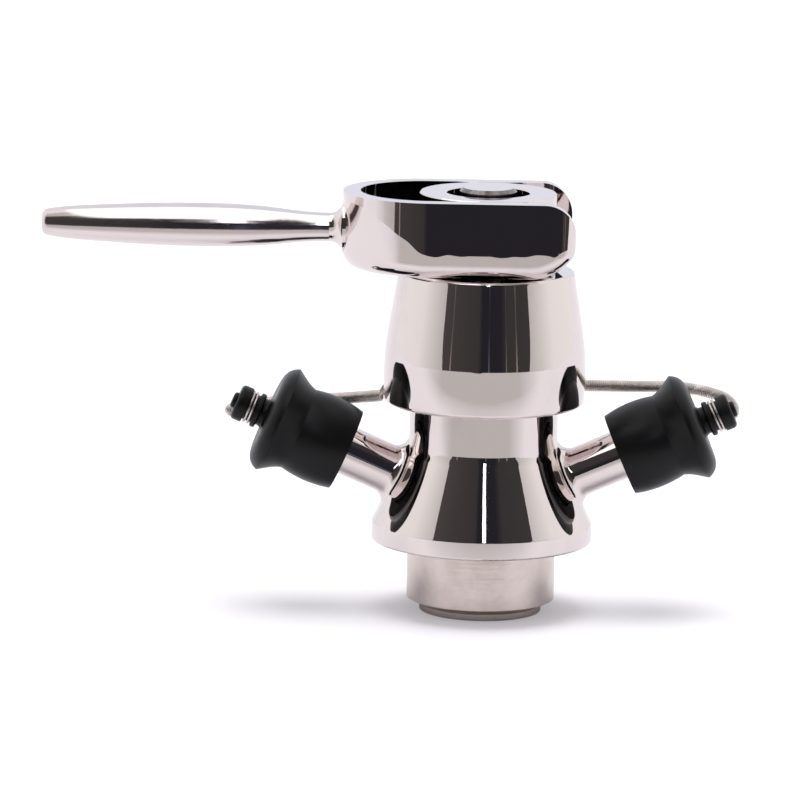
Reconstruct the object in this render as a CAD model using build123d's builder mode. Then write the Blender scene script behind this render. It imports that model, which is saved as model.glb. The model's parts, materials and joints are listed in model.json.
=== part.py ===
# Aseptic sampling valve with a quick-opening fork lever and two capped hose ports.
# Millimetres. The origin is the centre of the spigot's lower face, +Z runs up the stem,
# the lever's rod points to -X, and the two hose ports rise to -X and +X.
from build123d import *
from math import cos, pi, radians, sin
import os

os.makedirs("parts", exist_ok=True)

# ---- fits ---------------------------------------------------------------------------
running_fit = 0.05       # radial, between pieces that slide or turn on each other
thread_fit = 0.05        # radial, where a plain bore stands for a screwed joint
seat_fit = 0.03          # between pieces that rest against each other
free_gap = 0.35          # between curved faces that pass each other

# ---- weld-on body -------------------------------------------------------------------
spigot_r = 15.7
spigot_h = 1.6
stub_r = 19.05           # 38.1 mm stub, welded into the vessel wall
stub_chamfer_h = 1.7
stub_top_z = 18.4
flange_r = 28.4
flange_top_z = 23.0
flange_edge = 0.5
neck_r = 19.1
neck_z = 42.0            # where the cone turns into the neck
neck_blend = 5.0
neck_top_z = 62.0
chamber_r = 11.0
inlet_r = 5.0
inlet_h = 4.6
lip_seat_r = 14.0        # counterbore that takes the membrane's lip
lip_seat_depth = 6.0

# ---- hose ports ---------------------------------------------------------------------
port_angle = 23.5        # above the horizontal
port_z = 25.7            # height where the ports' axes meet the valve's axis
tube_r = 6.35            # 12.7 mm tube
tube_wall = 1.65
port_spud_end = 30.0     # distance along the port's axis where the tube is butt-welded
port_fillet = 3.0
tube_end = 55.0
tube_edge = 0.4

# ---- bonnet -------------------------------------------------------------------------
bonnet_bottom_z = 54.2
bonnet_bottom_r = 25.5
bonnet_belly_r = 25.9
bonnet_belly_z = 64.5
bonnet_shoulder_r = 24.7
bonnet_shoulder_z = 75.0
bonnet_top_r = 22.5
bonnet_top_z = 88.7
bonnet_bottom_edge = 1.2
bonnet_top_edge = 0.9
bonnet_roof = 4.7        # thickness of the bonnet's top
spring_room_r = 12.5
eye_hole_r = 0.75
eye_hole_depth = 2.4
eye_hole_z = 57.2
left_eye_angle = 8.0     # degrees round to the back from the port's side
right_eye_angle = 22.0

# ---- seals and guides ---------------------------------------------------------------
o_ring_section = 0.89    # radius of the section
o_ring_z = 57.6
o_ring_groove_depth = 1.8
o_ring_groove_play = 0.3
membrane_r = 8.4
membrane_fold_r = 7.2
membrane_folds = 4
membrane_fold_pitch = 3.4
membrane_lip = 2.0
membrane_play = 0.3      # round the stem
guide_inset = 1.6        # of the guide's flange from the neck's edge
guide_flange_h = 2.5
wiper_r = 6.5
wiper_flange_r = 8.6
wiper_flange_h = 1.2
wiper_sunk = 0.4         # below the bonnet's top

# ---- stem and closing spring --------------------------------------------------------
stem_r = 4.0
stem_thread_r = 3.2
stem_foot_z = 14.0
stem_stud_r = 2.4
stem_stud_length = 5.0
collar_r = 8.8
collar_h = 2.5
collar_gap = 0.5         # over the guide's flange with the valve shut
spring_mean_r = 7.0
spring_wire_r = 0.7
spring_turns = 4

# ---- lever --------------------------------------------------------------------------
lever_height = 19.5
lever_gap = 0.5          # over the bonnet's top
fork_half_width = 22.4
cheek = 4.5
fork_bend_x = -14.7      # centre of the closed end
fork_tip_x = 22.1
fork_tip_round = 8.0
fork_soft_edge = 4.2     # lower outer edge
lift_per_radian = 10.8   # base radius of the heel's involute
open_angle = 45.0
rod_blend_r = 6.4
rod_blend = 3.4          # from the fork's closed end to the rod's neck
rod_neck_r = 3.65
rod_swell = 15.9         # distances along the rod from its neck
rod_swell_r = 4.95
rod_belly = 35.0
rod_belly_r = 5.6
rod_taper = 60.8
rod_taper_r = 4.6
rod_length = 73.4
rod_tip_r = 3.1
rod_tip_round = 1.6
rod_stud_r = 2.4
rod_stud_length = 6.0

# ---- barrel, trunnions and stem nut -------------------------------------------------
barrel_hole_r = 10.65
barrel_floor = 4.0
barrel_gap = 1.0         # over the bonnet's top
barrel_edge = 0.3
trunnion_r = 4.0
trunnion_head_r = 5.0
trunnion_head = 1.9
trunnion_head_y = 9.3    # inner face of the head
cheek_bush_wall = 1.15
cheek_bush_length = 2.9
nut_r = 7.3
nut_above_lever = 1.2
nut_edge = 0.9
nut_roof = 3.5

# ---- rubber plugs: s runs out along the port's axis ---------------------------------
plug_mouth_s = 38.5
plug_mouth_r = 10.75
plug_belly_s = 45.0
plug_belly_r = 11.6
plug_waist_s = 51.8
plug_waist_r = 10.95
plug_rim_s = 57.6
plug_rim_r = 14.1
plug_face_s = 60.9
plug_face_r = 9.6
plug_end_gap = 0.3
plug_lead_in = 0.8
nipple_r = 3.6
nipple_blend = 1.2
bead_s = 62.6
bead_r = 4.6
bead_round = 0.5
groove_s = 64.0
groove_length = 2.4
groove_r = 3.7
knob_r = 4.65
knob_end_s = 69.4
knob_round = 1.1
nub_r = 2.1
nub_h = 1.1
nub_round = 0.7
plug_travel = 22.0

# ---- tethers ------------------------------------------------------------------------
tether_r = 1.65
hook_wire_r = 0.5
hook_reach = 2.3         # from the bonnet to the tether's first turn
hook_drop = 2.4          # from the bonnet's hole down to the tether
loop_wire_r = 0.33
loop_pitch = 0.95
loop_turns = 1.8

# ---- sizes that follow --------------------------------------------------------------
bore_r = tube_r - tube_wall
lever_bottom_z = bonnet_top_z + lever_gap
lever_top_z = lever_bottom_z + lever_height
pivot_z = lever_bottom_z + lever_height / 2
slot_r = fork_half_width - cheek
fork_end_x = fork_bend_x - fork_half_width
rod_neck_x = fork_end_x - rod_blend
barrel_r = slot_r - free_gap
lip_z = neck_top_z - lip_seat_depth
guide_top_z = neck_top_z + guide_flange_h
collar_z = guide_top_z + collar_gap
roof_z = bonnet_top_z - bonnet_roof
spring_low_z = collar_z + collar_h + spring_wire_r
spring_high_z = roof_z - wiper_flange_h - spring_wire_r
spring_pitch = (spring_high_z - spring_low_z) / spring_turns
barrel_low_z = bonnet_top_z + barrel_gap
barrel_floor_z = barrel_low_z + barrel_floor
nut_top_z = lever_top_z + nut_above_lever
nut_bore_z = nut_top_z - nut_roof
o_ring_r = neck_r + thread_fit - o_ring_section - seat_fit
membrane_tip_z = inlet_h + 0.6
membrane_tip_r = inlet_r + membrane_tip_z - inlet_h - 2 * seat_fit
membrane_cone_z = membrane_tip_z + membrane_r - membrane_tip_r
folds_z = lip_z - 1 - membrane_folds * membrane_fold_pitch
cheek_bush_r = trunnion_r + running_fit + cheek_bush_wall
trunnion_end_y = slot_r + cheek_bush_length - running_fit
half_lever = lever_height / 2
loop_r = groove_r + loop_wire_r + seat_fit
left_port = Plane(
    origin=(0, 0, port_z),
    x_dir=(0, 1, 0),
    z_dir=(-cos(radians(port_angle)), 0, sin(radians(port_angle))),
)
right_port = Plane(
    origin=(0, 0, port_z),
    x_dir=(0, 1, 0),
    z_dir=(cos(radians(port_angle)), 0, sin(radians(port_angle))),
)


def heel(angle):
    """Point of the heel that bears on the bonnet with the lever lifted by the angle."""
    turn = radians(angle)
    height = half_lever + lift_per_radian * turn
    x = height * sin(turn) + lift_per_radian * cos(turn)
    z = lift_per_radian * sin(turn) - height * cos(turn)
    return (x, pivot_z + z)


def on_bonnet(side, angle, radius, z):
    """Point round the valve's axis: the angle runs to the back from the side's port."""
    return (side * radius * cos(radians(angle)), radius * sin(radians(angle)), z)


def circles_at(piece, z):
    """The piece's round edges at one height."""
    rounds = piece.edges().filter_by(GeomType.CIRCLE)
    return rounds.filter_by(lambda edge: abs(edge.center().Z - z) < 0.01)


def keep(name, piece):
    piece.label = name
    export_step(piece, "parts/" + name + ".step")


# ---- weld-on body: stub, conical flange, neck and the two port spuds ----------------
with BuildPart() as valve_body:
    with BuildSketch(Plane.XZ):
        with BuildLine():
            Polyline(
                (0, 0),
                (spigot_r, 0),
                (spigot_r, spigot_h),
                (stub_r, spigot_h + stub_chamfer_h),
                (stub_r, stub_top_z),
                (flange_r, stub_top_z),
                (flange_r, flange_top_z),
                (neck_r, neck_z),
                (neck_r, neck_top_z),
                (0, neck_top_z),
                close=True,
            )
        make_face()
    revolve(axis=Axis.Z)
    fillet(circles_at(valve_body, stub_top_z).sort_by(SortBy.RADIUS)[-1], flange_edge)
    fillet(circles_at(valve_body, flange_top_z), flange_edge)
    fillet(circles_at(valve_body, neck_z), neck_blend)
    for port in (left_port, right_port):
        with BuildSketch(port):
            Circle(tube_r)
        extrude(amount=port_spud_end)
    welds = valve_body.edges().filter_by(
        lambda edge: edge.geom_type not in (GeomType.CIRCLE, GeomType.LINE)
    )
    fillet(welds, port_fillet)
    # Inlet, conical seat, membrane chamber and the counterbore for the membrane's lip.
    with BuildSketch(Plane.XZ):
        with BuildLine():
            Polyline(
                (0, 0),
                (inlet_r, 0),
                (inlet_r, inlet_h),
                (chamber_r, inlet_h + chamber_r - inlet_r),
                (chamber_r, lip_z),
                (lip_seat_r, lip_z),
                (lip_seat_r, neck_top_z),
                (0, neck_top_z),
                close=True,
            )
        make_face()
    revolve(axis=Axis.Z, mode=Mode.SUBTRACT)
    for port in (left_port, right_port):
        with BuildSketch(port):
            Circle(bore_r)
        extrude(amount=port_spud_end, mode=Mode.SUBTRACT)
    # O-ring groove round the neck.
    with BuildSketch(Plane.XZ):
        with Locations((neck_r, o_ring_z)):
            Rectangle(2 * o_ring_groove_depth, 2 * o_ring_section + o_ring_groove_play)
    revolve(axis=Axis.Z, mode=Mode.SUBTRACT)
keep("valve_body", valve_body.part)

# ---- port tube, drawn along Z and turned onto each port -----------------------------
with BuildPart() as port_tube:
    with BuildSketch(Plane.XY.offset(port_spud_end)):
        Circle(tube_r)
        Circle(bore_r, mode=Mode.SUBTRACT)
    extrude(amount=tube_end - port_spud_end)
    fillet(circles_at(port_tube, tube_end), tube_edge)
keep("port_tube_left", left_port.location * port_tube.part)
keep("port_tube_right", right_port.location * port_tube.part)

# ---- rubber plug, drawn along Z and turned onto each port ---------------------------
with BuildPart() as plug:
    with BuildSketch(Plane.XZ):
        with BuildLine():
            Line((0, plug_mouth_s), (plug_mouth_r, plug_mouth_s))
            Spline(
                (plug_mouth_r, plug_mouth_s),
                (plug_belly_r, plug_belly_s),
                (plug_waist_r, plug_waist_s),
            )
            Spline(
                (plug_waist_r, plug_waist_s),
                (plug_rim_r, plug_rim_s),
                tangents=((0.25, 1), (0.6, 1)),
            )
            Spline(
                (plug_rim_r, plug_rim_s),
                (plug_face_r, plug_face_s),
                tangents=((-0.35, 1), (-1, 0.08)),
            )
            Polyline(
                (plug_face_r, plug_face_s),
                (nipple_r, plug_face_s),
                (nipple_r, bead_s),
                (bead_r, bead_s),
                (bead_r, groove_s),
                (groove_r, groove_s),
                (groove_r, groove_s + groove_length),
                (knob_r, groove_s + groove_length),
                (knob_r, knob_end_s),
                (nub_r, knob_end_s),
                (nub_r, knob_end_s + nub_h),
                (0, knob_end_s + nub_h),
                (0, plug_mouth_s),
            )
        make_face()
    revolve(axis=Axis.Z)
    fillet(circles_at(plug, plug_face_s).sort_by(SortBy.RADIUS)[0], nipple_blend)
    fillet(circles_at(plug, bead_s).sort_by(SortBy.RADIUS)[-1], bead_round)
    fillet(circles_at(plug, groove_s).sort_by(SortBy.RADIUS)[-1], bead_round)
    fillet(circles_at(plug, knob_end_s).sort_by(SortBy.RADIUS)[-1], knob_round)
    fillet(circles_at(plug, knob_end_s + nub_h), nub_round)
    with BuildSketch(Plane.XY.offset(plug_mouth_s)):
        Circle(tube_r + running_fit)
    extrude(amount=tube_end + plug_end_gap - plug_mouth_s, mode=Mode.SUBTRACT)
    chamfer(circles_at(plug, plug_mouth_s).sort_by(SortBy.RADIUS)[0], plug_lead_in)
keep("plug_left", left_port.location * plug.part)
keep("plug_right", right_port.location * plug.part)

# ---- wire wound round the plug's groove, along Z ------------------------------------
with BuildPart() as wire_loop:
    with BuildLine():
        turns = Helix(
            loop_pitch,
            loop_pitch * loop_turns,
            loop_r,
            center=(0, 0, groove_s + (groove_length - loop_pitch * loop_turns) / 2),
        )
    with BuildSketch(Plane(origin=turns @ 0, z_dir=turns % 0)):
        Circle(loop_wire_r)
    sweep(is_frenet=True)
keep("wire_loop_left", left_port.location * wire_loop.part)
keep("wire_loop_right", right_port.location * wire_loop.part)

# ---- bonnet -------------------------------------------------------------------------
with BuildPart() as bonnet:
    with BuildSketch(Plane.XZ):
        with BuildLine():
            Line((0, bonnet_bottom_z), (bonnet_bottom_r, bonnet_bottom_z))
            Spline(
                (bonnet_bottom_r, bonnet_bottom_z),
                (bonnet_belly_r, bonnet_belly_z),
                (bonnet_shoulder_r, bonnet_shoulder_z),
                (bonnet_top_r, bonnet_top_z),
            )
            Polyline((bonnet_top_r, bonnet_top_z), (0, bonnet_top_z), (0, bonnet_bottom_z))
        make_face()
    revolve(axis=Axis.Z)
    fillet(circles_at(bonnet, bonnet_bottom_z), bonnet_bottom_edge)
    fillet(circles_at(bonnet, bonnet_top_z), bonnet_top_edge)
    # Screwed bore over the neck, spring room, and the wiper's seat in the roof.
    with BuildSketch(Plane.XZ):
        with BuildLine():
            Polyline(
                (0, bonnet_bottom_z),
                (neck_r + thread_fit, bonnet_bottom_z),
                (neck_r + thread_fit, guide_top_z),
                (spring_room_r, guide_top_z),
                (spring_room_r, roof_z),
                (wiper_r + seat_fit, roof_z),
                (wiper_r + seat_fit, bonnet_top_z),
                (0, bonnet_top_z),
                close=True,
            )
        make_face()
    revolve(axis=Axis.Z, mode=Mode.SUBTRACT)
    for side, angle in ((-1, left_eye_angle), (1, right_eye_angle)):
        outward = on_bonnet(side, angle, 1, 0)
        floor = on_bonnet(side, angle, bonnet_bottom_r - eye_hole_depth, eye_hole_z)
        with BuildSketch(Plane(origin=floor, z_dir=outward)):
            Circle(eye_hole_r)
        extrude(amount=2 * eye_hole_depth, mode=Mode.SUBTRACT)
keep("bonnet", bonnet.part)

# ---- seals and guides under the bonnet ----------------------------------------------
with BuildPart() as bonnet_o_ring:
    with BuildSketch(Plane.XZ):
        with Locations((o_ring_r, o_ring_z)):
            Circle(o_ring_section)
    revolve(axis=Axis.Z)
keep("bonnet_o_ring", bonnet_o_ring.part)

with BuildPart() as membrane:
    with BuildSketch(Plane.XZ):
        with BuildLine():
            Polyline(
                (membrane_r, folds_z + membrane_folds * membrane_fold_pitch),
                (membrane_r, lip_z),
                (lip_seat_r - running_fit, lip_z),
                (lip_seat_r - running_fit, lip_z + membrane_lip),
                (stem_r + membrane_play, lip_z + membrane_lip),
                (stem_r + membrane_play, stem_foot_z),
                (stem_stud_r + seat_fit, stem_foot_z),
                (stem_stud_r + seat_fit, stem_foot_z - stem_stud_length),
                (0, stem_foot_z - stem_stud_length),
                (0, membrane_tip_z),
                (membrane_tip_r, membrane_tip_z),
                (membrane_r, membrane_cone_z),
                (membrane_r, folds_z),
            )
            for fold in range(membrane_folds):
                low = folds_z + fold * membrane_fold_pitch
                ThreePointArc(
                    (membrane_r, low),
                    (membrane_fold_r, low + membrane_fold_pitch / 2),
                    (membrane_r, low + membrane_fold_pitch),
                )
        make_face()
    revolve(axis=Axis.Z)
keep("membrane", membrane.part)

with BuildPart() as stem_guide:
    with BuildSketch(Plane.XY.offset(lip_z + membrane_lip)):
        Circle(lip_seat_r - running_fit)
    extrude(amount=neck_top_z - lip_z - membrane_lip)
    with BuildSketch(Plane.XY.offset(neck_top_z)):
        Circle(neck_r - guide_inset)
    extrude(amount=guide_flange_h)
    with BuildSketch(Plane.XY.offset(lip_z)):
        Circle(stem_r + running_fit)
    extrude(amount=guide_top_z - lip_z, mode=Mode.SUBTRACT)
keep("stem_guide", stem_guide.part)

with BuildPart() as stem_wiper:
    with BuildSketch(Plane.XY.offset(roof_z - wiper_flange_h)):
        Circle(wiper_flange_r)
    extrude(amount=wiper_flange_h)
    with BuildSketch(Plane.XY.offset(roof_z)):
        Circle(wiper_r)
    extrude(amount=bonnet_roof - wiper_sunk)
    with BuildSketch(Plane.XY.offset(roof_z - wiper_flange_h)):
        Circle(stem_r + running_fit)
    extrude(amount=bonnet_roof + wiper_flange_h, mode=Mode.SUBTRACT)
keep("stem_wiper", stem_wiper.part)

# ---- stem and closing spring --------------------------------------------------------
with BuildPart() as stem:
    with BuildSketch(Plane.XY.offset(stem_foot_z)):
        Circle(stem_r)
    extrude(amount=barrel_low_z - stem_foot_z)
    with BuildSketch(Plane.XY.offset(stem_foot_z - stem_stud_length)):
        Circle(stem_stud_r)
    extrude(amount=stem_stud_length)
    with BuildSketch(Plane.XY.offset(collar_z)):
        Circle(collar_r)
    extrude(amount=collar_h)
    with BuildSketch(Plane.XY.offset(barrel_low_z)):
        Circle(stem_thread_r)
    extrude(amount=nut_bore_z - barrel_low_z - 1)
keep("stem", stem.part)

with BuildPart() as closing_spring:
    with BuildLine():
        coil = Helix(
            spring_pitch,
            spring_high_z - spring_low_z,
            spring_mean_r,
            center=(0, 0, spring_low_z),
        )
    with BuildSketch(Plane(origin=coil @ 0, z_dir=coil % 0)):
        Circle(spring_wire_r)
    sweep(is_frenet=True)
keep("closing_spring", closing_spring.part)

# ---- barrel on the stem's end, with its two trunnions and the nut that holds it ------
with BuildPart() as barrel:
    with BuildSketch(Plane.XY.offset(barrel_low_z)):
        Circle(barrel_r)
    extrude(amount=lever_top_z - barrel_low_z)
    with BuildSketch(Plane.XY.offset(barrel_floor_z)):
        Circle(barrel_hole_r)
    extrude(amount=lever_top_z - barrel_floor_z, mode=Mode.SUBTRACT)
    with BuildSketch(Plane.XY.offset(barrel_low_z)):
        Circle(stem_thread_r + thread_fit)
    extrude(amount=barrel_floor, mode=Mode.SUBTRACT)
    with BuildSketch(Plane.XZ.offset(-fork_half_width)):
        with Locations((0, pivot_z)):
            Circle(trunnion_r + seat_fit)
    extrude(amount=2 * fork_half_width, mode=Mode.SUBTRACT)
    with BuildSketch(Plane.XZ.offset(-trunnion_head_y - trunnion_head)):
        with Locations((0, pivot_z)):
            Circle(trunnion_head_r + seat_fit)
    extrude(amount=2 * (trunnion_head_y + trunnion_head), mode=Mode.SUBTRACT)
    chamfer(circles_at(barrel, lever_top_z), barrel_edge)
keep("barrel", barrel.part)

with BuildPart() as trunnion:
    with BuildSketch(Plane.XZ.offset(trunnion_head_y)):
        with Locations((0, pivot_z)):
            Circle(trunnion_head_r)
    extrude(amount=trunnion_head)
    with BuildSketch(Plane.XZ.offset(trunnion_head_y)):
        with Locations((0, pivot_z)):
            Circle(trunnion_r)
    extrude(amount=trunnion_end_y - trunnion_head_y)
keep("trunnion_front", trunnion.part)
keep("trunnion_back", mirror(trunnion.part, about=Plane.XZ))

with BuildPart() as stem_nut:
    with BuildSketch(Plane.XY.offset(barrel_floor_z)):
        Circle(nut_r)
    extrude(amount=nut_top_z - barrel_floor_z)
    chamfer(circles_at(stem_nut, nut_top_z), nut_edge)
    with BuildSketch(Plane.XY.offset(barrel_floor_z)):
        Circle(stem_thread_r + thread_fit)
    extrude(amount=nut_bore_z - barrel_floor_z, mode=Mode.SUBTRACT)
keep("stem_nut", stem_nut.part)

# ---- lever: fork with its involute heel, bushes in the cheeks, and the rod -----------
with BuildPart() as lever_fork:
    with BuildSketch(Plane.XY.offset(lever_bottom_z)):
        with Locations((fork_bend_x, 0)):
            Circle(fork_half_width)
        with Locations(((fork_bend_x + fork_tip_x) / 2, 0)):
            Rectangle(fork_tip_x - fork_bend_x, 2 * fork_half_width)
    extrude(amount=lever_height)
    # Everything below the heel's curve is cut away.
    with BuildSketch(Plane.XZ):
        with BuildLine():
            touch = heel(open_angle)
            along = (cos(radians(open_angle)), sin(radians(open_angle)))
            cam = Spline(*[heel(open_angle * i / 3) for i in range(4)], tangents=((1, 0), along))
            tip = (fork_tip_x, touch[1] + (fork_tip_x - touch[0]) / (1 - along[0]) * along[1])
            TangentArc(cam @ 1, tip, tangent=along)
            Polyline(
                tip,
                (2 * fork_tip_x, tip[1]),
                (2 * fork_tip_x, lever_bottom_z - 1),
                (lift_per_radian, lever_bottom_z - 1),
                cam @ 0,
            )
        make_face()
    extrude(amount=fork_half_width + 1, both=True, mode=Mode.SUBTRACT)
    outer = lever_fork.edges().filter_by(
        lambda edge: edge.center().Z < lever_top_z - 1
        and abs(abs(edge.center().Y) - fork_half_width) < 0.01
    )
    bend = circles_at(lever_fork, lever_bottom_z)
    fillet(outer + bend, fork_soft_edge)
    # Rounded upper corner of the open end.
    with BuildSketch(Plane.XZ):
        with BuildLine():
            Line((fork_tip_x - fork_tip_round, lever_top_z), (fork_tip_x, lever_top_z))
            Line((fork_tip_x, lever_top_z), (fork_tip_x, lever_top_z - fork_tip_round))
            TangentArc(
                (fork_tip_x, lever_top_z - fork_tip_round),
                (fork_tip_x - fork_tip_round, lever_top_z),
                tangent=(0, 1),
            )
        make_face()
    extrude(amount=fork_half_width + 1, both=True, mode=Mode.SUBTRACT)
    # Blend into the rod.
    with BuildSketch(Plane.XZ):
        with BuildLine():
            Polyline(
                (rod_neck_x, pivot_z + rod_neck_r),
                (rod_neck_x, pivot_z),
                (fork_bend_x - slot_r, pivot_z),
                (fork_bend_x - slot_r, pivot_z + rod_blend_r),
                (fork_end_x, pivot_z + rod_blend_r),
            )
            TangentArc(
                (rod_neck_x, pivot_z + rod_neck_r),
                (fork_end_x, pivot_z + rod_blend_r),
                tangent=(1, 0),
            )
        make_face()
    revolve(axis=Axis((0, 0, pivot_z), (1, 0, 0)))
    # Slot for the barrel, open at the tip.
    with BuildSketch(Plane.XY.offset(lever_bottom_z)):
        with Locations((fork_bend_x, 0)):
            Circle(slot_r)
        with Locations((fork_bend_x + fork_tip_x, 0)):
            Rectangle(2 * fork_tip_x, 2 * slot_r)
    extrude(amount=lever_height, mode=Mode.SUBTRACT)
    # Blind bores for the cheek bushes and the rod's threaded hole.
    with BuildSketch(Plane.XZ.offset(-slot_r - cheek_bush_length)):
        with Locations((0, pivot_z)):
            Circle(cheek_bush_r + seat_fit)
    extrude(amount=2 * (slot_r + cheek_bush_length), mode=Mode.SUBTRACT)
    with BuildSketch(Plane.YZ.offset(rod_neck_x)):
        with Locations((0, pivot_z)):
            Circle(rod_stud_r + thread_fit)
    extrude(amount=rod_stud_length, mode=Mode.SUBTRACT)
keep("lever_fork", lever_fork.part)

with BuildPart() as cheek_bush:
    with BuildSketch(Plane.XZ.offset(slot_r)):
        with Locations((0, pivot_z)):
            Circle(cheek_bush_r)
            Circle(trunnion_r + running_fit, mode=Mode.SUBTRACT)
    extrude(amount=cheek_bush_length)
keep("cheek_bush_front", cheek_bush.part)
keep("cheek_bush_back", mirror(cheek_bush.part, about=Plane.XZ))

with BuildPart() as lever_rod:
    with BuildSketch(Plane.XZ):
        with BuildLine():
            Spline(
                (rod_neck_x, pivot_z + rod_neck_r),
                (rod_neck_x - rod_swell, pivot_z + rod_swell_r),
                (rod_neck_x - rod_belly, pivot_z + rod_belly_r),
                (rod_neck_x - rod_taper, pivot_z + rod_taper_r),
                (rod_neck_x - rod_length, pivot_z + rod_tip_r),
                tangents=((-1, 0), (-1, -0.25)),
            )
            Polyline(
                (rod_neck_x - rod_length, pivot_z + rod_tip_r),
                (rod_neck_x - rod_length, pivot_z),
                (rod_neck_x + rod_stud_length - seat_fit, pivot_z),
                (rod_neck_x + rod_stud_length - seat_fit, pivot_z + rod_stud_r),
                (rod_neck_x, pivot_z + rod_stud_r),
                (rod_neck_x, pivot_z + rod_neck_r),
            )
        make_face()
    revolve(axis=Axis((0, 0, pivot_z), (1, 0, 0)))
    fillet(lever_rod.edges().filter_by(GeomType.CIRCLE).sort_by(Axis.X)[0], rod_tip_round)
keep("lever_rod", lever_rod.part)

# ---- tethers: close-wound springs from the bonnet's holes to the plugs' wire --------
left_route = [
    on_bonnet(-1, left_eye_angle, bonnet_bottom_r + hook_reach, eye_hole_z - hook_drop),
    (-40.0, 11.0, 52.3),
    (-50.0, 15.9, 50.9),
    (-58.0, 16.6, 49.6),
    (-64.4, 13.4, 48.9),
    (-65.0, 8.8, 49.2),
    (-61.3, 6.5, 50.0),
]
right_route = [
    on_bonnet(1, right_eye_angle, bonnet_bottom_r + hook_reach, eye_hole_z),
    (42.3, 13.4, 56.6),
    (51.5, 15.4, 56.1),
    (58.8, 15.4, 54.9),
    (64.2, 12.6, 52.6),
    (64.3, 8.9, 50.4),
    (61.3, 6.6, 50.0),
]
for name, side, angle, route in (
    ("left", -1, left_eye_angle, left_route),
    ("right", 1, right_eye_angle, right_route),
):
    with BuildPart() as tether:
        with BuildLine():
            run = Spline(*route)
        with BuildSketch(Plane(origin=run @ 0, z_dir=run % 0)):
            Circle(tether_r)
        sweep()
    keep("tether_" + name, tether.part)

    with BuildPart() as hook:
        with BuildLine():
            start = run @ 0
            back = Vector(*on_bonnet(side, angle, bonnet_bottom_r, start.Z))
            mouth = Vector(*on_bonnet(side, angle, bonnet_bottom_r + 0.6, eye_hole_z))
            end = Vector(*on_bonnet(side, angle, bonnet_bottom_r - eye_hole_depth + 0.2, eye_hole_z))
            bent = Spline(start, mouth, end, tangents=(run % 0 * -1, (end - mouth).normalized()))
        with BuildSketch(Plane(origin=bent @ 0, z_dir=bent % 0)):
            Circle(hook_wire_r)
        sweep()
    keep("tether_hook_" + name, hook.part)
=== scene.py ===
"""Looks of the sampling valve: finishes, wound tethers, light and camera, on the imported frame."""
import json
import math

import bpy
import numpy as np
from mathutils import Matrix, Vector

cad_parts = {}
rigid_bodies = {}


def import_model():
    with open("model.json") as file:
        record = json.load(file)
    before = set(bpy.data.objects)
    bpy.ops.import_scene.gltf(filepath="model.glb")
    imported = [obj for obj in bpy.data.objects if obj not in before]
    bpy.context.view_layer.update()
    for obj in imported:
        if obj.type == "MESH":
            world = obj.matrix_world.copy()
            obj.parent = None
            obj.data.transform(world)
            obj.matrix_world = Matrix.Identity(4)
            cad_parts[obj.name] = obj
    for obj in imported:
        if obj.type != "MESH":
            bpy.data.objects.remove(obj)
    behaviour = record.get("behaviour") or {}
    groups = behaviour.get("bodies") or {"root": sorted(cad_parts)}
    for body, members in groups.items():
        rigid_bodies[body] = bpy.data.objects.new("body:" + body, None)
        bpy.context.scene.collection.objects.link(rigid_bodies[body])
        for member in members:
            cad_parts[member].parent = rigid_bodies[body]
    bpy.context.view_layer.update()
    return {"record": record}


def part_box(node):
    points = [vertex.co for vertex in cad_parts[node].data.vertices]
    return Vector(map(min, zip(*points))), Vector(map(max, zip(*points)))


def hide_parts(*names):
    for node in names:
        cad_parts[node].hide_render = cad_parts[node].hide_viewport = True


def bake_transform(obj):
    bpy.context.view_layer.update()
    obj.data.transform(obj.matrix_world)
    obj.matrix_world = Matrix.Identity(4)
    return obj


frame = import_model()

# ---- sizes, in metres -------------------------------------------------------------------
stub_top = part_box("valve_body")[0][2] + 0.0184
bonnet_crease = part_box("bonnet")[0][2] + 0.0122
fork_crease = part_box("lever_fork")[0][2] + 0.0062
fork_corner_x = -0.015
sweep_reach = 0.012
sweep_curve = 110.0
tether_r = 0.00158
coil_wire_r = 0.00023
coil_gap = 0.00003
floor_front = -0.33

# ---- colours ----------------------------------------------------------------------------
steel_tint = (0.79, 0.715, 0.70)
satin_light, satin_dark = (0.74, 0.655, 0.615), (0.61, 0.535, 0.495)
# The nut's side: painted reflection, with dark steel standing in for the dark surroundings it mirrors. The
# spread between the two tones is the tool marks.
nut_side_painted_reflection_dark, nut_side_painted_reflection_light = (0.11, 0.10, 0.10), (0.34, 0.31, 0.30)
floor_color = (0.8, 0.785, 0.82)
# The floor's colour in mirrors ahead of the valve: painted shade, for the light falling off towards the dark
# side.
floor_painted_shade = (0.48, 0.47, 0.465)


# ---- material nodes ---------------------------------------------------------------------
def new_material(name):
    material = bpy.data.materials.new(name)
    material.use_nodes = True
    tree = material.node_tree
    return material, tree, tree.nodes["Principled BSDF"]


def link(tree, source, target):
    tree.links.new(source, target)


def set_or_link(tree, value, socket):
    if isinstance(value, (int, float)):
        socket.default_value = value
    elif isinstance(value, tuple):
        socket.default_value = (*value, 1)
    else:
        link(tree, value, socket)


def math_node(tree, operation, first, second=None):
    node = tree.nodes.new("ShaderNodeMath")
    node.operation = operation
    set_or_link(tree, first, node.inputs[0])
    if second is not None:
        set_or_link(tree, second, node.inputs[1])
    return node.outputs[0]


def plus(tree, first, second):
    return math_node(tree, "ADD", first, second)


def times(tree, first, second):
    return math_node(tree, "MULTIPLY", first, second)


def axes(tree, kind="Object"):
    """The X, Y and Z sockets of a texture coordinate."""
    place = tree.nodes.new("ShaderNodeTexCoord")
    split = tree.nodes.new("ShaderNodeSeparateXYZ")
    link(tree, place.outputs[kind], split.inputs[0])
    return split.outputs[0], split.outputs[1], split.outputs[2]


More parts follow.
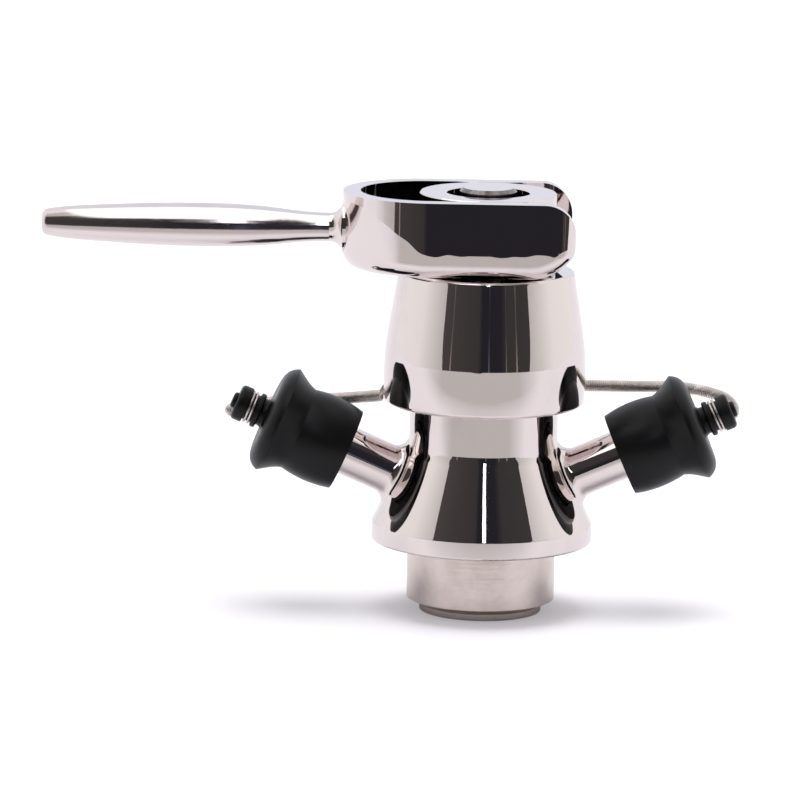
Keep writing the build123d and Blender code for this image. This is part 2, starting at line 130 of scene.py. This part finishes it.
def noise(tree, scale, detail=2.0, stretch=(1, 1, 1), roughness=0.5):
    place = tree.nodes.new("ShaderNodeTexCoord")
    mapping = tree.nodes.new("ShaderNodeMapping")
    mapping.inputs["Scale"].default_value = stretch
    texture = tree.nodes.new("ShaderNodeTexNoise")
    texture.inputs["Scale"].default_value = scale
    texture.inputs["Detail"].default_value = detail
    texture.inputs["Roughness"].default_value = roughness
    link(tree, place.outputs["Object"], mapping.inputs["Vector"])
    link(tree, mapping.outputs["Vector"], texture.inputs["Vector"])
    return texture.outputs["Fac"]


def remap(tree, value, low, high, start=0.3, end=0.7):
    """Takes start to end, to low to high, and holds the ends."""
    node = tree.nodes.new("ShaderNodeMapRange")
    node.inputs["From Min"].default_value = start
    node.inputs["From Max"].default_value = end
    node.inputs["To Min"].default_value = low
    node.inputs["To Max"].default_value = high
    link(tree, value, node.inputs["Value"])
    return node.outputs["Result"]


def mix_value(tree, factor, low, high):
    node = tree.nodes.new("ShaderNodeMix")
    link(tree, factor, node.inputs["Factor"])
    set_or_link(tree, low, node.inputs["A"])
    set_or_link(tree, high, node.inputs["B"])
    return node.outputs["Result"]


def mix_color(tree, factor, low, high):
    # A Mix node's inputs 6 and 7 and its output 2 are the ones for colours.
    node = tree.nodes.new("ShaderNodeMix")
    node.data_type = "RGBA"
    link(tree, factor, node.inputs["Factor"])
    set_or_link(tree, low, node.inputs[6])
    set_or_link(tree, high, node.inputs[7])
    return node.outputs[2]


def scaled(color, share):
    return tuple(share * c for c in color)


def bump(tree, bsdf, *layers):
    """Stacks bumps, each a height with its strength and distance."""
    last = None
    for height, strength, distance in layers:
        node = tree.nodes.new("ShaderNodeBump")
        node.inputs["Strength"].default_value = strength
        node.inputs["Distance"].default_value = distance
        link(tree, height, node.inputs["Height"])
        if last is not None:
            link(tree, last, node.inputs["Normal"])
        last = node.outputs["Normal"]
    link(tree, last, bsdf.inputs["Normal"])


# ---- finishes ---------------------------------------------------------------------------
def fork_line(tree, x, y):
    """The rise of the fork's crease: it wavers, and on the outside it sweeps up to the left of the corner."""
    beyond = math_node(tree, "MAXIMUM", math_node(tree, "SUBTRACT", fork_corner_x, x), 0.0)
    square = times(tree, beyond, beyond)
    ease = plus(tree, math_node(tree, "DIVIDE", square, sweep_reach ** 2), 1.0)
    outward = times(tree, y, axes(tree, "Normal")[1])
    outside = math_node(tree, "GREATER_THAN", outward, -0.000001)
    sweep = times(tree, math_node(tree, "DIVIDE", square, ease), times(tree, outside, sweep_curve))
    waver = remap(tree, noise(tree, 120, 1, (1, 0, 0)), -0.0006, 0.0008)
    return plus(tree, sweep, waver)


def creased(tree, crease, lean, line=None):
    """A bump height that leans the surface back by lean[0] degrees above the crease and in by lean[1] below.
    The line gives the crease's rise along the surface, where it isn't level."""
    x, y, z = axes(tree)
    height = math_node(tree, "SUBTRACT", z, crease)
    if line is not None:
        height = math_node(tree, "SUBTRACT", height, line(tree, x, y))
    back, inward = (math.tan(math.radians(angle)) for angle in lean)
    above = times(tree, math_node(tree, "MAXIMUM", height, 0.0), -back)
    below = times(tree, math_node(tree, "MINIMUM", height, 0.0), inward)
    return plus(tree, above, below)


def polished(name, wave=0.05, haze=0.0, satin_below=None, crease=None, lean=(0, 0), line=None):
    """Mirror-polished steel with hazy smudges, satin below a height, and a crease at another."""
    material, tree, bsdf = new_material(name)
    bsdf.inputs["Metallic"].default_value = 1.0
    smudge = remap(tree, noise(tree, 60, 4, (1, 1, 0.6), 0.6), 0, 1, 0.56, 0.72)
    grain = remap(tree, noise(tree, 320, 3), haze + 0.012, haze + 0.04)
    color = mix_color(tree, smudge, steel_tint, scaled(steel_tint, 0.93))
    rough = plus(tree, grain, times(tree, smudge, 0.05))
    layers = [(noise(tree, 55, 1), wave, 0.0006)]
    if crease is not None:
        layers.append((creased(tree, crease, lean, line), 1.0, 1.0))
    if satin_below is not None:
        satin = math_node(tree, "LESS_THAN", axes(tree)[2], satin_below - 0.0001)
        cloud = noise(tree, 160, 5, (1, 1, 1), 0.65)
        rings = times(tree, noise(tree, 90, 3, (1, 1, 14), 0.6), satin)
        dull = mix_color(tree, remap(tree, cloud, 0, 1), satin_light, satin_dark)
        color = mix_color(tree, satin, color, dull)
        rough = mix_value(tree, satin, rough, remap(tree, cloud, 0.16, 0.25))
        layers.append((rings, 0.25, 0.0001))
    link(tree, color, bsdf.inputs["Base Color"])
    link(tree, rough, bsdf.inputs["Roughness"])
    bump(tree, bsdf, *layers)
    return material


def turned(name, color, low, high, stretch):
    """Plain machined steel with fine tool marks."""
    material, tree, bsdf = new_material(name)
    bsdf.inputs["Metallic"].default_value = 1.0
    marks = noise(tree, 260, 3, stretch, 0.6)
    tone = mix_color(tree, remap(tree, marks, 0, 1), color, scaled(color, 0.8))
    link(tree, tone, bsdf.inputs["Base Color"])
    link(tree, remap(tree, marks, low, high), bsdf.inputs["Roughness"])
    bump(tree, bsdf, (marks, 0.2, 0.0001))
    return material


def nut_steel_painted_side():
    """Polished end face, and a side with upright tool marks whose base colour is painted dark: a painted
    reflection of the dark surroundings.
    """
    material, tree, bsdf = new_material("nut_steel_painted_side")
    bsdf.inputs["Metallic"].default_value = 1.0
    shape = tree.nodes.new("ShaderNodeNewGeometry")
    split = tree.nodes.new("ShaderNodeSeparateXYZ")
    link(tree, shape.outputs["True Normal"], split.inputs[0])
    # The side faces, picked by their normal, get the painted dark reflection with the tool marks in it.
    side = math_node(tree, "LESS_THAN", split.outputs["Z"], 0.9)
    marks = remap(tree, noise(tree, 420, 3, (1, 1, 0.02), 0.6), 0, 1)
    marked_painted_reflection = mix_color(tree, marks, nut_side_painted_reflection_dark, nut_side_painted_reflection_light)
    link(tree, mix_color(tree, side, steel_tint, marked_painted_reflection), bsdf.inputs["Base Color"])
    link(tree, mix_value(tree, side, 0.05, 0.16), bsdf.inputs["Roughness"])
    return material


def rubber(name, color, rough, shine=0.5):
    material, tree, bsdf = new_material(name)
    grain = noise(tree, 1100, 3)
    cloud = noise(tree, 90, 3)
    bsdf.inputs["Specular IOR Level"].default_value = shine
    tone = mix_color(tree, remap(tree, cloud, 0, 1), color, scaled(color, 1.25))
    link(tree, tone, bsdf.inputs["Base Color"])
    link(tree, remap(tree, cloud, rough - 0.05, rough + 0.05), bsdf.inputs["Roughness"])
    bump(tree, bsdf, (grain, 0.1, 0.0001), (cloud, 0.05, 0.0006))
    return material


slot_finish = {
    "polished_steel": polished("polished_steel"),
    "machined_steel": turned("machined_steel", (0.66, 0.62, 0.60), 0.16, 0.28, (1, 1, 0.15)),
    "spring_wire": turned("spring_wire", (0.84, 0.77, 0.73), 0.26, 0.38, (1, 1, 1)),
    "plug_rubber": rubber("plug_rubber", (0.0045, 0.0045, 0.0052), 0.34, 0.22),
    "seal_rubber": rubber("seal_rubber", (0.02, 0.02, 0.02), 0.5),
    "silicone": rubber("silicone", (0.78, 0.77, 0.74), 0.4),
    "bearing_plastic": rubber("bearing_plastic", (0.86, 0.85, 0.82), 0.45),
}
own_finish = {
    "valve_body": polished("body_steel", satin_below=stub_top),
    "bonnet": polished("bonnet_steel", crease=bonnet_crease, lean=(1.5, 5.5)),
    "lever_rod": polished("rod_steel", wave=0.03, haze=0.1),
    "lever_fork": polished("fork_steel", wave=0.16, crease=fork_crease, lean=(0, 9), line=fork_line),
    "stem_nut": nut_steel_painted_side(),
}
for sub in frame["record"]["subparts"]:
    piece = bpy.data.objects[sub["node"]]
    piece.data.materials.clear()
    piece.data.materials.append(own_finish.get(sub["node"], slot_finish[sub["material_slot"]]))


# ---- tethers: the close-wound turns along each route ------------------------------------
def through(points, count):
    """Points along a natural cubic spline, spaced by its chords."""
    p = np.array(points, float)
    u = np.concatenate(([0], np.cumsum(np.linalg.norm(np.diff(p, axis=0), axis=1))))
    h = np.diff(u)
    n = len(p)
    a = np.eye(n)
    b = np.zeros((n, 3))
    for i in range(1, n - 1):
        a[i, i - 1 : i + 2] = h[i - 1], 2 * (h[i - 1] + h[i]), h[i]
        b[i] = 6 * ((p[i + 1] - p[i]) / h[i] - (p[i] - p[i - 1]) / h[i - 1])
    m = np.linalg.solve(a, b)
    t = np.linspace(0, u[-1], count)
    k = np.clip(np.searchsorted(u, t, side="right") - 1, 0, n - 2)
    x, hk = (t - u[k])[:, None], h[k][:, None]
    slope = (p[k + 1] - p[k]) / hk - hk * (2 * m[k] + m[k + 1]) / 6
    return p[k] + x * (slope + x * (m[k] / 2 + x * (m[k + 1] - m[k]) / (6 * hk)))


def coil_verts(route, around, sides):
    """Rings of points round a wire that is wound close along the route."""
    line = through(route, 400)
    steps = np.linalg.norm(np.diff(line, axis=0), axis=1)
    run = np.concatenate(([0], np.cumsum(steps)))
    turns = int((run[-1] - 2 * coil_wire_r) / (2 * coil_wire_r + coil_gap))
    count = turns * around + 1
    s = np.linspace(coil_wire_r, run[-1] - coil_wire_r, count)
    centre = np.stack([np.interp(s, run, line[:, i]) for i in range(3)], 1)
    tangent = np.gradient(centre, axis=0)
    tangent /= np.linalg.norm(tangent, axis=1)[:, None]
    side = np.cross(tangent, (0, 0, 1.0))
    side /= np.linalg.norm(side, axis=1)[:, None]
    up = np.cross(side, tangent)
    angle = np.arange(count) * 2 * math.pi / around
    out = side * np.cos(angle)[:, None] + up * np.sin(angle)[:, None]
    wire = centre + out * (tether_r - coil_wire_r)
    turn = np.arange(sides) * 2 * math.pi / sides
    ring = out[:, None] * np.cos(turn)[None, :, None] + tangent[:, None] * np.sin(turn)[None, :, None]
    return (wire[:, None] + ring * coil_wire_r).reshape(-1, 3), count


def coil(name, route, around=14, sides=6):
    """A wire wound close round the route, as one closed mesh."""
    verts, count = coil_verts(route, around, sides)
    faces = []
    for i in range(count - 1):
        for j in range(sides):
            k = (j + 1) % sides
            faces.append((i * sides + j, i * sides + k, (i + 1) * sides + k, (i + 1) * sides + j))
    faces.append(tuple(range(sides))[::-1])
    faces.append(tuple((count - 1) * sides + j for j in range(sides)))
    mesh = bpy.data.meshes.new(name)
    mesh.from_pydata(verts.tolist(), [], faces)
    mesh.shade_smooth()
    mesh.materials.append(slot_finish["spring_wire"])
    obj = bpy.data.objects.new(name, mesh)
    bpy.context.scene.collection.objects.link(obj)
    return obj


routes = {
    "left": [
        (-0.02604, 0.00366, 0.0548), (-0.040, 0.011, 0.0523), (-0.050, 0.0159, 0.0509),
        (-0.058, 0.0166, 0.0496), (-0.0644, 0.0134, 0.0489), (-0.065, 0.0088, 0.0492),
        (-0.0613, 0.0065, 0.0500),
    ],
    "right": [
        (0.02438, 0.00985, 0.0572), (0.0423, 0.0134, 0.0566), (0.0515, 0.0154, 0.0561),
        (0.0588, 0.0154, 0.0549), (0.0642, 0.0126, 0.0526), (0.0643, 0.0089, 0.0504),
        (0.0613, 0.0066, 0.0500),
    ],
}
for side, route in routes.items():
    winding = coil("tether_coil_" + side, route)
    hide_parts("tether_" + side)
    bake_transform(winding)


# ---- closing spring: a copy of the packed spring, fixed in place of the original ----
def closing_coil():
    packed = bpy.data.objects["closing_spring"]
    pressed = bpy.data.objects.new("closing_coil", packed.data.copy())
    pressed.matrix_world = packed.matrix_world.copy()
    bpy.context.scene.collection.objects.link(pressed)
    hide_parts("closing_spring")
    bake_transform(pressed)


closing_coil()


# ---- studio: white floor and room, with the dark side that the camera stands in ----------
def card(name, corners, color, strength=0.0):
    mesh = bpy.data.meshes.new(name)
    mesh.from_pydata(corners, [], [tuple(range(len(corners)))])
    obj = bpy.data.objects.new(name, mesh)
    bpy.context.scene.collection.objects.link(obj)
    material, tree, bsdf = new_material(name)
    bsdf.inputs["Base Color"].default_value = (*color, 1)
    bsdf.inputs["Roughness"].default_value = 1.0
    bsdf.inputs["Specular IOR Level"].default_value = 0.0
    bsdf.inputs["Emission Color"].default_value = (1, 1, 1, 1)
    bsdf.inputs["Emission Strength"].default_value = strength
    mesh.materials.append(material)
    return obj, tree, bsdf


def bearings(tree, x, y):
    """The distance ahead of the valve, towards the camera's side, and the angle round it from there."""
    ahead = times(tree, y, -1.0)
    return ahead, math_node(tree, "ARCTAN2", x, ahead)


def white_floor():
    """White to the camera but for the shadow. In mirrors its colour is painted darker towards the dark side:
    painted shade for the light falling off there.
    """
    corners = [(-3, floor_front, 0), (3, floor_front, 0), (3, 4, 0), (-3, 4, 0)]
    _, tree, bsdf = card("floor", corners, floor_color)
    path = tree.nodes.new("ShaderNodeLightPath")
    bsdf.inputs["Emission Color"].default_value = (0.985, 0.97, 1.0, 1)
    link(tree, times(tree, path.outputs["Is Camera Ray"], 0.25), bsdf.inputs["Emission Strength"])
    x, y, _ = axes(tree)
    ahead, angle = bearings(tree, x, y)
    # Painted shade: to glossy rays, the floor's colour darkens ahead of the valve and towards the dark side.
    painted_shade_wedge = remap(tree, math_node(tree, "ABSOLUTE", plus(tree, angle, 0.1)), 1.0, 0.0, 0.75, 1.25)
    painted_shade_reach = times(tree, remap(tree, ahead, 0, 1, 0.07, 0.14), path.outputs["Is Glossy Ray"])
    dull = times(tree, painted_shade_wedge, painted_shade_reach)
    link(tree, mix_color(tree, dull, floor_color, floor_painted_shade), bsdf.inputs["Base Color"])


def ceiling_panel():
    """The panel over the lever that only mirrors see, as the rod's long highlight."""
    left, right, front, back, height = -0.135, -0.02, -0.185, 0.05, 0.235
    corners = [(left, front, height), (right, front, height), (right, back, height), (left, back, height)]
    panel, _, _ = card("ceiling_panel", corners, (0, 0, 0), 1.5)
    panel.visible_camera = False
    panel.visible_diffuse = False
    panel.visible_shadow = False
    panel.visible_transmission = False


def window(tree, value, low, high):
    above = math_node(tree, "GREATER_THAN", value, low)
    below = math_node(tree, "LESS_THAN", value, high)
    return times(tree, above, below)


def ramp(tree, value, start, end, stops):
    node = tree.nodes.new("ShaderNodeValToRGB")
    while len(node.color_ramp.elements) < len(stops):
        node.color_ramp.elements.new(0.5)
    for element, (at, color) in zip(node.color_ramp.elements, stops):
        element.position = (at - start) / (end - start)
        element.color = (*color, 1)
    link(tree, remap(tree, value, 0, 1, start, end), node.inputs["Fac"])
    return node.outputs["Color"]


# All in degrees: azimuth 0 is towards the camera's side, and elevation is above the horizon.
# The room as the steel mirrors it: white, and greyer beside the dark side.
room_stops = [
    (-180, (0.82, 0.86, 0.96)), (-125, (1.0, 1.0, 1.0)), (-84, (0.95, 0.94, 0.93)),
    (-53, (0.59, 0.58, 0.57)), (55, (0.61, 0.60, 0.59)), (86, (0.96, 0.95, 0.94)),
    (125, (1.0, 1.0, 1.0)), (180, (0.82, 0.86, 0.96)),
]
dark_stops = [
    (-60, (0.08, 0.069, 0.07)), (-34, (0.058, 0.052, 0.054)), (-9, (0.046, 0.042, 0.044)),
    (-5, (0.02, 0.02, 0.026)), (18, (0.021, 0.021, 0.027)), (26, (0.046, 0.042, 0.044)),
    (60, (0.052, 0.048, 0.05)),
]
# Each edge of the dark side: its azimuth at the horizon, and its change with each degree of elevation.
dark_left = (-50.0, -0.23)
dark_right = (51.5, 0.27)
dark_top = 50.0
# Below the bend, the right edge is further round.
dark_bend, dark_low_right = -6.0, 50.0
# The gap in the dark side, with a lamp behind it, and the faint lines beside it that end at some height.
gap_azimuth, gap_elevation, gap_glow = (0.6, 4.6), (20.0, 49.0), (4.0, 4.0, 4.4)
line_fade = (1.0, 13.0)
faint_lines = [
    (-41.5, -40.2, (0.34, 0.29, 0.24)), (3.0, 4.6, (0.12, 0.12, 0.2)),
    (23.4, 24.4, (0.26, 0.22, 0.18)), (35.6, 37.0, (0.42, 0.34, 0.26)),
]


def dark_side(tree, azimuth, elevation):
    """1 in the dark side and 0 round it."""
    left = plus(tree, times(tree, elevation, dark_left[1]), dark_left[0])
    right = plus(tree, times(tree, elevation, dark_right[1]), dark_right[0])
    low = math_node(tree, "LESS_THAN", elevation, dark_bend)
    right = plus(tree, right, times(tree, low, dark_low_right))
    under = math_node(tree, "LESS_THAN", elevation, dark_top)
    return times(tree, window(tree, azimuth, left, right), under)


def mirrored_room(tree):
    """What the steel sees in each direction."""
    x, y, z = axes(tree, "Generated")
    azimuth = times(tree, bearings(tree, x, y)[1], 180 / math.pi)
    elevation = times(tree, math_node(tree, "ARCSINE", z), 180 / math.pi)
    room = ramp(tree, azimuth, -180, 180, room_stops)
    dark = ramp(tree, azimuth, -60, 60, dark_stops)
    seen = mix_color(tree, dark_side(tree, azimuth, elevation), room, dark)
    gap = times(tree, window(tree, azimuth, *gap_azimuth), window(tree, elevation, *gap_elevation))
    seen = mix_color(tree, gap, seen, gap_glow)
    for low, high, glow in faint_lines:
        line = times(tree, window(tree, azimuth, low, high), remap(tree, elevation, 1, 0, *line_fade))
        seen = mix_color(tree, line, seen, glow)
    return seen


def studio_world():
    """White to the camera, a plain grey light on the object, and the room only in mirrors."""
    world = bpy.data.worlds.new("studio")
    bpy.context.scene.world = world
    world.use_nodes = True
    tree = world.node_tree
    background = tree.nodes["Background"]
    path = tree.nodes.new("ShaderNodeLightPath")
    light = mix_color(tree, path.outputs["Is Glossy Ray"], (0.45, 0.45, 0.46), mirrored_room(tree))
    shown = mix_color(tree, path.outputs["Is Camera Ray"], light, (1.0, 1.0, 1.0))
    link(tree, shown, background.inputs["Color"])
    background.inputs["Strength"].default_value = 1.0


def overhead_light():
    """A wide soft light from above that casts the shadow on the floor."""
    lamp = bpy.data.lights.new("overhead", "SUN")
    lamp.energy = 2.5
    lamp.angle = math.radians(42)
    overhead = bpy.data.objects.new("overhead", lamp)
    overhead.rotation_euler = (math.radians(-3), 0, 0)
    overhead.visible_glossy = False
    bpy.context.scene.collection.objects.link(overhead)


def photo_camera():
    """The photograph's viewpoint: 10 degrees above the valve, far off, and tilted a little."""
    camera = bpy.data.objects.new("camera", bpy.data.cameras.new("camera"))
    bpy.context.scene.collection.objects.link(camera)
    bpy.context.scene.camera = camera
    eye = Vector((-0.0216, -1.442, 0.319))
    aim = Vector((-0.0216, 0.0, 0.0543))
    roll = Matrix.Rotation(math.radians(1.05), 4, "Z")
    turn = (aim - eye).to_track_quat("-Z", "Y")
    camera.location = eye
    camera.rotation_euler = (turn.to_matrix().to_4x4() @ roll).to_euler()
    seen_width, distance = 0.2056, 1.466
    camera.data.sensor_width = 36
    camera.data.lens = camera.data.sensor_width * distance / seen_width
    camera.data.clip_start = 0.05


white_floor()
ceiling_panel()
studio_world()
overhead_light()
photo_camera()
bpy.context.scene.view_settings.view_transform = "Standard"
